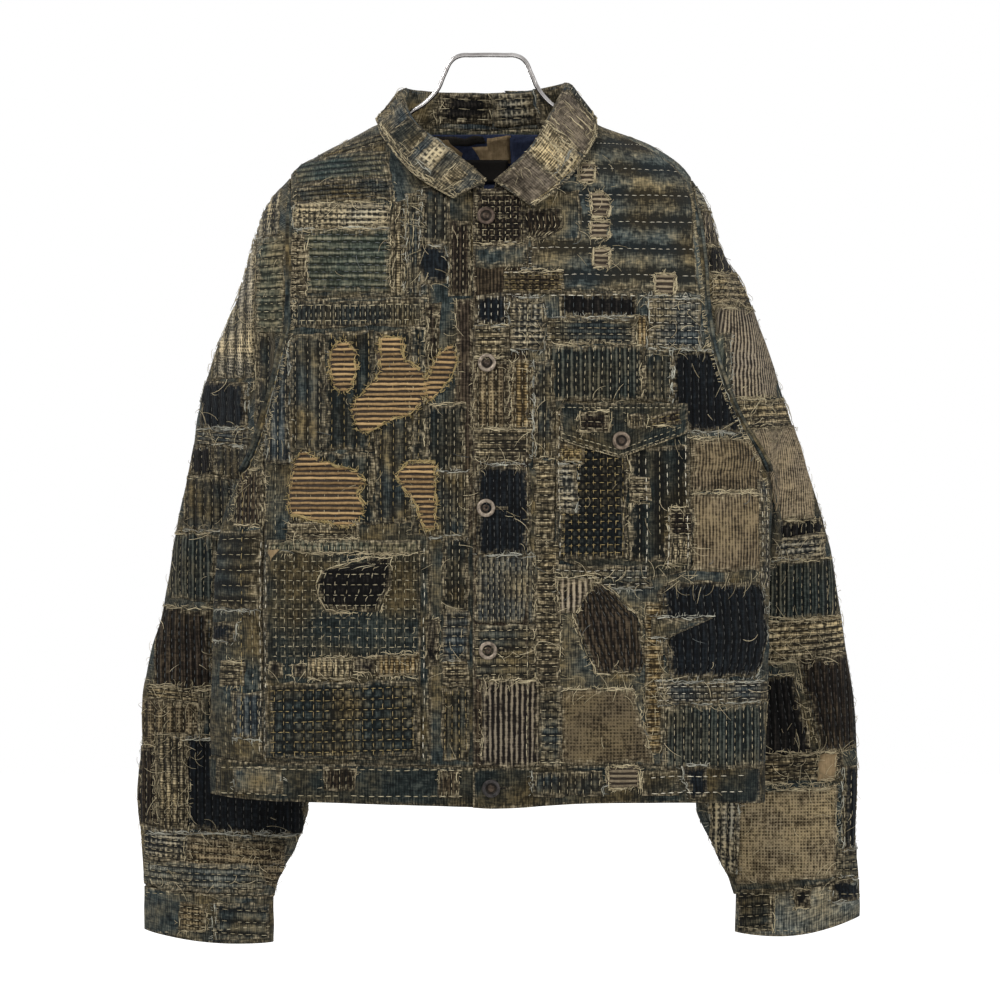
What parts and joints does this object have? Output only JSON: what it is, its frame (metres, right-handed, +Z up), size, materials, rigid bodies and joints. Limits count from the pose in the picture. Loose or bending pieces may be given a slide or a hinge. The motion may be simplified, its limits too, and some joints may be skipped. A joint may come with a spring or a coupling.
{
  "type": "patched boro jacket on a wire hanger",
  "caption": "Boxy patched work jacket with collar, button placket, chest flap pocket and hand pocket, hung on a bent-wire hanger.",
  "frame": {"origin": "underside of the hanger loop's top bar, where a hook holds it, on the jacket's centre line", "axes": "+Z up, -Y out of the jacket's front, +X towards the wearer's left sleeve"},
  "size_m": [0.6923, 0.1843, 0.8467],
  "materials": {
    "patched_denim": "worn indigo and olive denim, patched all over, matt",
    "yoke_denim": "washed teal denim with running stitches, matt",
    "brown_patched": "brown and beige woven patches with frayed edges, matt",
    "indigo_patched": "dark indigo patches with pale running stitches, matt",
    "lining_cloth": "plain cotton patchwork lining in tan, blue and grey",
    "label_cloth": "black woven label, bare",
    "button_metal": "dark antique shank button",
    "hanger_steel": "bright bent wire"
  },
  "bodies": {
    "root": {"back_lining": "lining_cloth", "back_panel": "patched_denim", "back_yoke": "yoke_denim", "chest_pocket": "patched_denim", "chest_pocket_flap": "yoke_denim", "collar": "brown_patched", "cuff_button_left": "button_metal", "cuff_button_right": "button_metal", "cuff_left": "yoke_denim", "cuff_right": "yoke_denim", "flap_button": "button_metal", "front_button_1": "button_metal", "front_button_2": "button_metal", "front_button_3": "button_metal", "front_button_4": "button_metal", "front_button_5": "button_metal", "front_left": "patched_denim", "front_right": "patched_denim", "front_yoke_left": "yoke_denim", "front_yoke_right": "yoke_denim", "hand_pocket": "indigo_patched", "hanger": "hanger_steel", "hem_band_back": "yoke_denim", "hem_band_left": "yoke_denim", "hem_band_right": "yoke_denim", "neck_label": "label_cloth", "placket_left": "brown_patched", "placket_right": "indigo_patched", "side_panel_left": "indigo_patched", "side_panel_right": "indigo_patched", "sleeve_left_upper": "brown_patched", "sleeve_left_lower": "brown_patched", "sleeve_right_upper": "brown_patched", "sleeve_right_lower": "brown_patched"}
  },
  "joints": []
}
